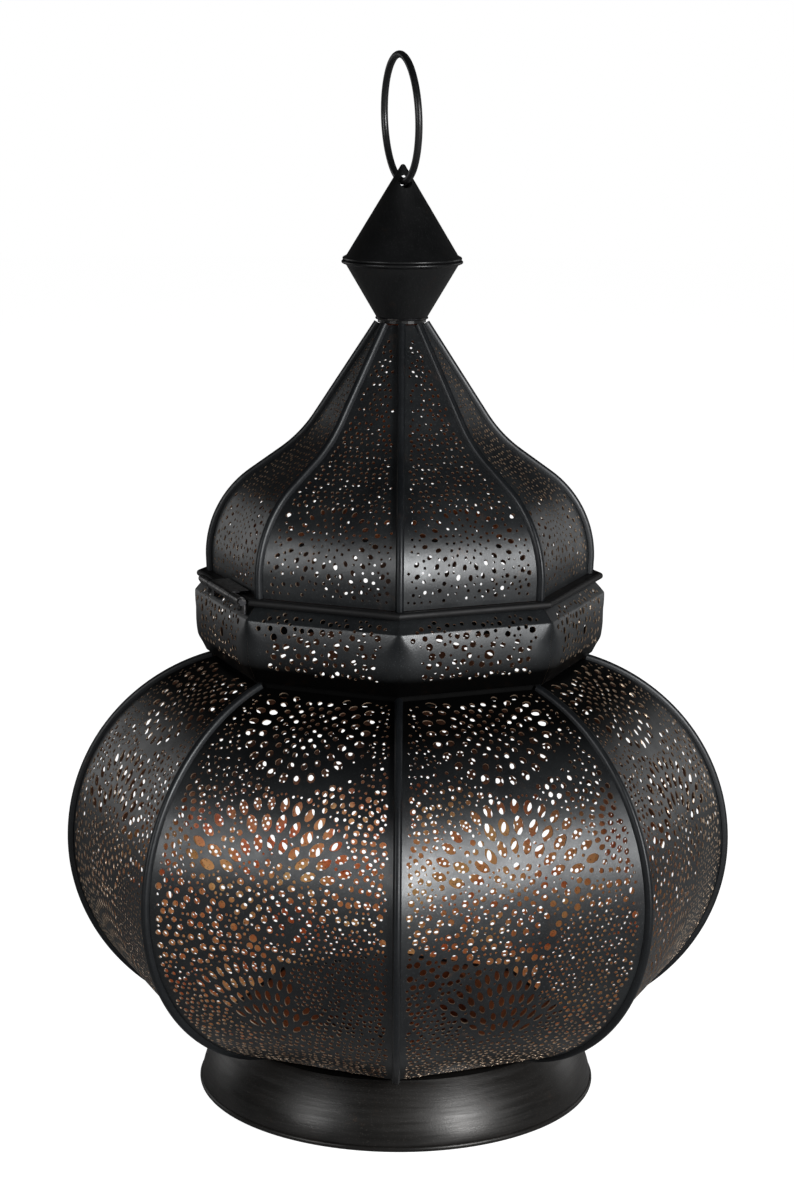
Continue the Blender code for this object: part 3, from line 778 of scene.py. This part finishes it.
# Painted shade: a darker copy of the inside copper for the dome, whose inside gets less light.
inside_copper_shaded = copper_side("Inside_copper_painted_shade", (0.34, 0.115, 0.045), (0.09, 0.032, 0.018),
                           rough=0.48)
# Painted shade: a near black copy of the inside copper for the collar, standing in for the deep shade
# inside it.
inside_copper_deep_shade = copper_side("Inside_copper_painted_deep_shade", (0.055, 0.024, 0.013), (0.018, 0.009, 0.006),
                          rough=0.60, metallic=0.3)
# Painted shade: a darker copy of the inside copper for the base plate and the cup, in the shade at the
# bottom.
floor_copper_shaded = copper_side("Floor_copper_painted_shade", (0.30, 0.10, 0.04), (0.13, 0.045, 0.02), rough=0.40)
cut_edge = copper_side("Cut_edges_bare", (0.62, 0.50, 0.38), (0.34, 0.25, 0.18),
                       rough=0.38, metallic=0.85)
solder = worn_steel("Solder_dull")
hinge_steel = worn_steel("Hinge_steel_worn")
latch_steel = worn_steel("Latch_steel_worn")


# ---------------------------------------------------------------- the eight-sided shell
def make_shell():
    """The pierced panels of the body, collar and dome, and the strips over their seams."""
    body = Side(filled(body_outline(22), 0.0032))
    collar = Side(filled(collar_outline(), 0.0015), COLLAR_KITE)
    dome = Side(filled(dome_outline(14), 0.0024))
    shells = (("body", "body", body, body_pattern, (), body_black, inside_copper),
              ("collar", "body", collar, collar_pattern, COLLAR_SEAM_LINES, collar_black, inside_copper_deep_shade),
              ("dome", "lid", dome, dome_pattern, (), sheet_black, inside_copper_shaded))
    for part, body_name, side, make_pattern, seam_lines, outside, inside in shells:
        cut = flat_mesh(make_pattern(side), side, seam_lines)
        for i in range(SIDES):
            number = str(i + 1)
            panel = pierced_sheet("pierced_" + part + "_panel_" + number, side, cut,
                                  HALF_TURN * (2 * i + 1), (outside, inside, cut_edge))
            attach(panel, body_name)
            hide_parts(part + "_panel_" + number)
    seams = (("body", "body", body_outline(40)), ("dome", "lid", dome_outline(24)))
    for part, body_name, outline in seams:
        for i in range(SIDES):
            number = str(i + 1)
            strip = seam_strip("seam_strip_" + part + "_" + number, outline, 2.0 * HALF_TURN * i,
                               strip_black)
            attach(strip, body_name)
            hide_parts(part + "_rib_" + number)


# ---------------------------------------------------------------- foot
def make_foot():
    """The spun foot with its rolled toe, drawn-in wall, flange and flat lip."""
    toe = arc((FOOT_R - FOOT_ROLL_R, FOOT_ROLL_R), FOOT_ROLL_R, math.radians(-90), math.radians(75), 8)
    start, pull, end = (FOOT_R - 0.0006, 0.0021), (FOOT_R - 0.0019, 0.0095), (FOOT_TOP_R, FOOT_H)
    steps = 20
    wall = []
    for i in range(steps + 1):
        t = i / steps
        wall.append(tuple(start[k] * (1 - t) ** 2 + 2 * pull[k] * t * (1 - t) + end[k] * t ** 2
                          for k in range(2)))
    flange = [(FOOT_FLANGE_R, FOOT_H), (FOOT_FLANGE_R, FOOT_H - FOOT_WALL),
              (FOOT_TOP_R - FOOT_WALL, FOOT_H - FOOT_WALL)]
    inner = [(radius - FOOT_WALL, height) for radius, height in reversed(wall[2:-3])]
    lip = [(FOOT_LIP_R, FOOT_WALL), (FOOT_LIP_R, 0.0)]
    foot = turned("spun_foot", toe + wall + flange + inner + lip, FOOT_STEPS, foot_black)
    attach(foot, "body")
    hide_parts("foot_ring")


# ---------------------------------------------------------------- finial and ring
def bore(obj, point, direction, radius, length):
    """Bore a round hole through the object and keep the result as its mesh."""
    angles = [2.0 * math.pi * k / DRILL_SIDES for k in range(DRILL_SIDES)]
    turn = Vector((0.0, 0.0, 1.0)).rotation_difference(direction)
    rings = [[point + turn @ Vector((radius * math.cos(a), radius * math.sin(a), end)) for a in angles]
             for end in (-0.5 * length, 0.5 * length)]
    drill = loft(obj.name + "_drill", rings, finial_black)
    cut = obj.modifiers.new("hole", "BOOLEAN")
    cut.operation = "DIFFERENCE"
    cut.solver = "EXACT"
    cut.object = drill
    bpy.context.view_layer.update()
    evaluated = obj.evaluated_get(bpy.context.evaluated_depsgraph_get())
    mesh = bpy.data.meshes.new_from_object(evaluated)
    obj.modifiers.clear()
    obj.data = mesh
    mesh.shade_smooth()
    mesh.set_sharp_from_angle(angle=SHARP_EDGE)
    bpy.data.objects.remove(drill, do_unlink=True)


def make_finial():
    """Two rolled cones whose rims are folded together, with the ring's hole through the upper."""
    lower_hem = arc((FINIAL_LIP_R - HEM_R, FINIAL_MID_Z - HEM_R), HEM_R,
                    math.radians(-70), math.radians(90), 8)
    lower = [(FINIAL_NECK_R, FINIAL_Z), (FINIAL_R - 0.0004, FINIAL_MID_Z - 0.0013)] + lower_hem
    lower += [(FINIAL_R - 3 * CONE_WALL, FINIAL_MID_Z), (FINIAL_NECK_R - CONE_WALL, FINIAL_Z)]
    cone = turned("finial_cone_lower", lower, CONE_STEPS, finial_black, CONE_LAP, math.radians(200))
    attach(cone, "lid")
    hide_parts("finial_lower_cone")

    low = FINIAL_MID_Z + HEM_GAP
    upper_hem = arc((FINIAL_LIP_R - 0.0003 - HEM_R, low + HEM_R), HEM_R,
                    math.radians(-90), math.radians(60), 8)
    tip = arc((0.0, FINIAL_TIP_Z - 0.0010), 0.0008, math.radians(30), math.radians(88), 5)
    upper = [(FINIAL_R - 3 * CONE_WALL, low)] + upper_hem + [(FINIAL_R - 0.0005, low + 0.0013)] + tip
    upper += [(0.00002, FINIAL_TIP_Z - 0.0030)]
    cone = turned("finial_cone_upper", upper, CONE_STEPS, finial_black, CONE_LAP, math.radians(35))
    forward = Vector((math.sin(RING_HEADING), -math.cos(RING_HEADING), 0.0))
    bore(cone, Vector((0.0, 0.0, RING_HOLE_Z)), forward, RING_HOLE_R, DRILL_LENGTH)
    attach(cone, "lid")
    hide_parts("finial_upper_cone")


def make_solder():
    """An uneven bead of solder round the finial's neck: seven waves of different rate and size."""
    rng = random.Random(3)
    waves = [(rng.uniform(1.5, 7.0), rng.uniform(0.0, 6.3), rng.uniform(0.10, 0.22)) for _ in range(7)]
    steps = 72
    around = [2.0 * math.pi * k / 10 for k in range(10)]
    sections = []
    for i in range(steps):
        angle = 2.0 * math.pi * i / steps
        swell = 1.0 + sum(size * math.sin(round(rate) * angle + phase) for rate, phase, size in waves) * 0.5
        thick = BEAD_THICK * swell
        sections.append([((BEAD_R + thick * math.cos(t)) * math.sin(angle),
                          -(BEAD_R + thick * math.cos(t)) * math.cos(angle),
                          FINIAL_Z + 0.00008 + 0.8 * thick * math.sin(t)) for t in around])
    bead = loft("solder_bead", sections, solder, closed=True)
    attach(bead, "lid")


def make_ring():
    """The wire ring, bent round and brazed shut, through the hole in the finial."""
    pivot = Vector((0.0, 0.0, RING_HOLE_Z))
    forward = Vector((math.sin(RING_HEADING), -math.cos(RING_HEADING), 0.0))
    up = Matrix.Rotation(RING_LEAN, 3, forward) @ Vector((0.0, 0.0, 1.0))
    centre = pivot + up * RING_R
    side = forward.cross(up)
    around = [2.0 * math.pi * k / WIRE_SIDES for k in range(WIRE_SIDES)]
    sections = []
    for i in range(RING_STEPS):
        angle = 2.0 * math.pi * i / RING_STEPS
        spoke = forward * math.sin(angle) - up * math.cos(angle)
        near = abs(math.degrees(angle - RING_JOINT))
        wire = RING_WIRE * (0.97 - 0.05 * math.exp(-(near / 0.9) ** 2))
        sections.append([centre + spoke * (RING_R + wire * math.cos(t)) + side * wire * math.sin(t)
                         for t in around])
    ring = loft("wire_ring", sections, wire_black, closed=True)
    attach(ring, "ring")
    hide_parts("hanging_ring")


# ---------------------------------------------------------------- folded rings, as (corner radius, height)
NECK_FOLD = [(0.0490, 0.12935), (0.0490, 0.1263), (0.0556, 0.1263), (0.0556, 0.1268), (0.0532, 0.12745)]
NECK_FOLD += arc((0.0524, 0.1292), 0.0008, 0.0, 1.5, 4)
RIM_ROLL = [(0.0524, 0.1529), (0.0524, 0.1520)] + arc((0.0574, 0.1523), 0.0010, -2.4, 2.4, 12)
FOOT_FOLD = [(0.0497, 0.0202), (0.0497, 0.0181)] + arc((0.0499, 0.0188), 0.0007, -1.5, 1.2, 6)
FOOT_FOLD += [(0.0501, 0.0203)]


def eight_sided_ring(name, outline, material):
    """A ring with eight straight sides."""
    sections = []
    for i in range(SIDES):
        angle = 2.0 * HALF_TURN * i
        sections.append([(r * math.sin(angle), -r * math.cos(angle), z) for r, z in outline])
    return loft(name, sections, material, closed=True, sharp=math.radians(25))


def make_folds():
    """The folded rings at the neck and the foot, and the rolled rim of the lid."""
    ring = eight_sided_ring("neck_fold", NECK_FOLD, rings_black_shaded)
    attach(ring, "body")
    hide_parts("neck_ring")
    ring = eight_sided_ring("lid_rolled_rim", RIM_ROLL, rim_black_shaded)
    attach(ring, "lid")
    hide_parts("lid_rim")
    ring = eight_sided_ring("foot_fold", FOOT_FOLD, rings_black_shaded)
    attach(ring, "body")


# ---------------------------------------------------------------- CAD pieces that stay
def dress(node, material, bevel):
    """Give a CAD piece its finish and soften its edges."""
    obj = nodes[node]
    obj.data.materials.clear()
    obj.data.materials.append(material)
    soft = obj.modifiers.new("soft_edges", "BEVEL")
    soft.width = bevel
    soft.segments = 2
    soft.limit_method = "ANGLE"
    soft.angle_limit = math.radians(40)
    soft.harden_normals = True


def dress_cad():
    """Finishes for the CAD pieces whose shapes are right as they are."""
    dress("dome_cap", finial_black, 0.0002)
    dress("base_plate", floor_copper_shaded, 0.0003)
    dress("tealight_cup", floor_copper_shaded, 0.00015)
    for node in ("hinge_knuckle_front", "hinge_knuckle_back", "hinge_leaf_lid"):
        dress(node, hinge_steel, 0.0001)
    for node in ("hinge_pin", "hinge_rivet_front", "hinge_rivet_back"):
        dress(node, hinge_steel, 0.00008)
    for node in ("latch_hook", "latch_catch"):
        dress(node, latch_steel, 0.00012)
    for node in ("latch_stud", "catch_rivet"):
        dress(node, latch_steel, 0.00008)


# ---------------------------------------------------------------- studio and camera
# Name, heading from the front and elevation in degrees, distance, width, height, watts, and the
# height on the lantern that it faces.
SOFTBOXES = (("light_right", 39, 15, 1.10, 0.22, 0.42, 12.0, 0.10),
             ("light_left", -48, 16, 1.15, 0.36, 0.42, 3.6, 0.10),
             ("light_over", 0, 58, 1.20, 0.50, 0.12, 0.14, 0.15),
             ("light_back_right", 126, 6, 1.20, 0.60, 0.60, 1.15, 0.10),
             ("light_back_left", -126, 6, 1.20, 0.60, 0.60, 1.15, 0.10))
INNER_POWER = 0.09
INNER_Z = 0.085
INNER_R = 0.02
SURROUND = 0.028                     # strength of the grey surround
WHITE = (1.0, 1.0, 1.0, 1.0)
FLOOR_R = 3.0
FLOOR_Z = -0.0002
FLOOR_STEPS = 96
FLOOR_GLOW = 0.98                    # brings the floor up to the surround's white for the camera
LENS = 79.7
SHIFT = -0.0022
CAMERA_PLACE = (0.0, -0.746, 0.3036)
CAMERA_DIP = 11.98                   # degrees below the horizon
CAMERA_ROLL = 0.45                   # degrees


def softbox(name, heading, elevation, distance, width, height, power, aim):
    """A rectangular light that faces the lantern."""
    heading, elevation = math.radians(heading), math.radians(elevation)
    light = bpy.data.lights.new(name, "AREA")
    light.shape = "RECTANGLE"
    light.size = width
    light.size_y = height
    light.energy = power
    obj = bpy.data.objects.new(name, light)
    away = Vector((math.sin(heading) * math.cos(elevation), -math.cos(heading) * math.cos(elevation),
                   math.sin(elevation)))
    target = Vector((0.0, 0.0, aim))
    obj.location = target + away * distance
    obj.rotation_euler = (-away).to_track_quat("-Z", "Y").to_euler()
    bpy.context.scene.collection.objects.link(obj)


def make_inner_light():
    """A weak lamp in the body, for the light that gathers between the copper walls."""
    lamp = bpy.data.lights.new("light_inside", "POINT")
    lamp.energy = INNER_POWER
    lamp.shadow_soft_size = INNER_R
    obj = bpy.data.objects.new("light_inside", lamp)
    obj.location = (0.0, 0.0, INNER_Z)
    obj.visible_camera = False
    obj.visible_glossy = False
    bpy.context.scene.collection.objects.link(obj)


def make_world():
    """White where the camera sees it, and a soft grey surround for the light."""
    world = bpy.data.worlds.new("Studio")
    bpy.context.scene.world = world
    world.use_nodes = True
    tree = world.node_tree
    tree.nodes.clear()
    path = tree.nodes.new("ShaderNodeLightPath")
    seen = tree.nodes.new("ShaderNodeBackground")
    seen.inputs["Color"].default_value = WHITE
    around = tree.nodes.new("ShaderNodeBackground")
    around.inputs["Color"].default_value = WHITE
    around.inputs["Strength"].default_value = SURROUND
    mix = tree.nodes.new("ShaderNodeMixShader")
    out = tree.nodes.new("ShaderNodeOutputWorld")
    tree.links.new(path.outputs["Is Camera Ray"], mix.inputs[0])
    tree.links.new(around.outputs[0], mix.inputs[1])
    tree.links.new(seen.outputs[0], mix.inputs[2])
    tree.links.new(mix.outputs[0], out.inputs["Surface"])


def make_floor():
    """A round pale floor that reads as white and still takes a soft shadow."""
    points = [(0.0, 0.0, 0.0)]
    faces = []
    for i in range(FLOOR_STEPS):
        angle = 2.0 * math.pi * i / FLOOR_STEPS
        points.append((FLOOR_R * math.cos(angle), FLOOR_R * math.sin(angle), 0.0))
        faces.append((0, 1 + i, 1 + (i + 1) % FLOOR_STEPS))
    mesh = bpy.data.meshes.new("studio_floor")
    mesh.from_pydata(points, [], faces)
    n = Nodes("Pale_floor")
    tone = n.blend(n.ramp(n.noise(6.0, 3.0), 0.3, 0.7), (0.40, 0.40, 0.40), (0.43, 0.43, 0.43))
    n.set(Base_Color=tone, Roughness=0.9)
    glow = n.tree.nodes.new("ShaderNodeEmission")
    glow.inputs["Strength"].default_value = FLOOR_GLOW
    path = n.tree.nodes.new("ShaderNodeLightPath")
    lit = n.tree.nodes.new("ShaderNodeAddShader")
    mix = n.tree.nodes.new("ShaderNodeMixShader")
    out = n.tree.nodes["Material Output"]
    n.tree.links.new(n.shader.outputs[0], lit.inputs[0])
    n.tree.links.new(glow.outputs[0], lit.inputs[1])
    n.tree.links.new(path.outputs["Is Camera Ray"], mix.inputs[0])
    n.tree.links.new(n.shader.outputs[0], mix.inputs[1])
    n.tree.links.new(lit.outputs[0], mix.inputs[2])
    n.tree.links.new(mix.outputs[0], out.inputs["Surface"])
    floor = link("studio_floor", mesh, n.material)
    floor.location = (0.0, 0.0, FLOOR_Z)


def make_camera():
    """In front of the lantern and a little above it, looking slightly down."""
    data = bpy.data.cameras.new("camera")
    data.lens = LENS
    data.sensor_width = 36.0
    data.sensor_fit = "AUTO"
    data.shift_x = SHIFT
    data.dof.use_dof = False
    camera = bpy.data.objects.new("camera", data)
    pitch = math.radians(90.0 - CAMERA_DIP)
    roll = math.radians(CAMERA_ROLL)
    camera.matrix_world = (Matrix.Translation(CAMERA_PLACE) @ Matrix.Rotation(pitch, 4, "X")
                           @ Matrix.Rotation(roll, 4, "Z"))
    bpy.context.scene.collection.objects.link(camera)
    bpy.context.scene.camera = camera


make_shell()
make_foot()
make_finial()
make_solder()
make_ring()
make_folds()
dress_cad()
make_world()
make_floor()
for values in SOFTBOXES:
    softbox(*values)
make_inner_light()
make_camera()
bpy.context.scene.view_settings.view_transform = "Standard"
